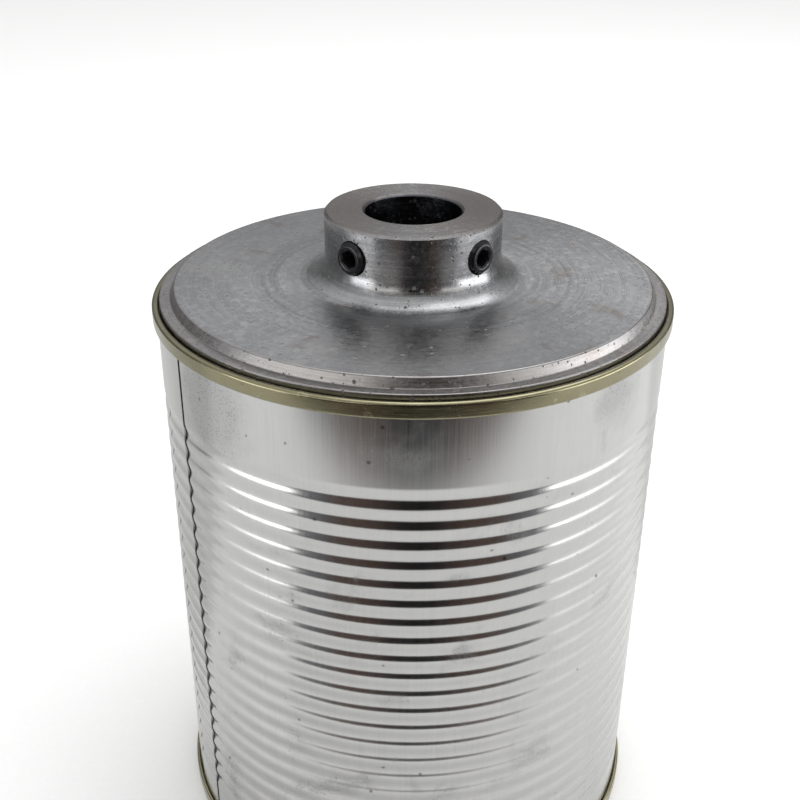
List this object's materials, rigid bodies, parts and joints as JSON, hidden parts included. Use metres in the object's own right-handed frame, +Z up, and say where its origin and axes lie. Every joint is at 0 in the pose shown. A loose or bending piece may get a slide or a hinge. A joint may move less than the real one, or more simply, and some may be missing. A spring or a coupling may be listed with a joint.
{
  "type": "food can with seaming chuck",
  "caption": "Beaded double-seamed tinplate food can with a bored steel seaming chuck resting in its top end, held to its shaft by radial set screws.",
  "frame": {"origin": "middle of the ring that the can stands on", "axes": "+Z up along the can's axis; -Y is the front, with the side seam at the front left (-X)"},
  "size_m": [0.1032, 0.1032, 0.1352],
  "materials": {
    "tinplate": "bright tinplate, fine rolling grain",
    "gold_lacquer": "tinplate under a thin gold lacquer",
    "bottom_lacquer": "tinplate under a thin gold lacquer",
    "sealing_compound": "matt water-based sealing compound",
    "turned_steel": "lathe-turned tool steel, pitted and lightly rusted",
    "black_oxide": "black oxide alloy steel, oiled"
  },
  "bodies": {
    "can": {"can_body": "tinplate", "top_end": "gold_lacquer", "bottom_end": "bottom_lacquer", "top_sealing_compound": "sealing_compound", "bottom_sealing_compound": "sealing_compound"},
    "chuck": {"seaming_chuck": "turned_steel"},
    "left_screw": {"left_set_screw": "black_oxide"},
    "right_screw": {"right_set_screw": "black_oxide"}
  },
  "joints": [
    {"name": "chuck_lift", "type": "slide", "parent": "can", "child": "chuck", "axis": [0, 0, 1], "range_m": [0, 0.03]},
    {"name": "left_screw_travel", "type": "slide", "parent": "chuck", "child": "left_screw", "axis": [-0.6561, -0.7547, 0], "range_m": [-0.00095, 0.006]},
    {"name": "right_screw_travel", "type": "slide", "parent": "chuck", "child": "right_screw", "axis": [0.7314, -0.682, 0], "range_m": [-0.00065, 0.006]}
  ]
}
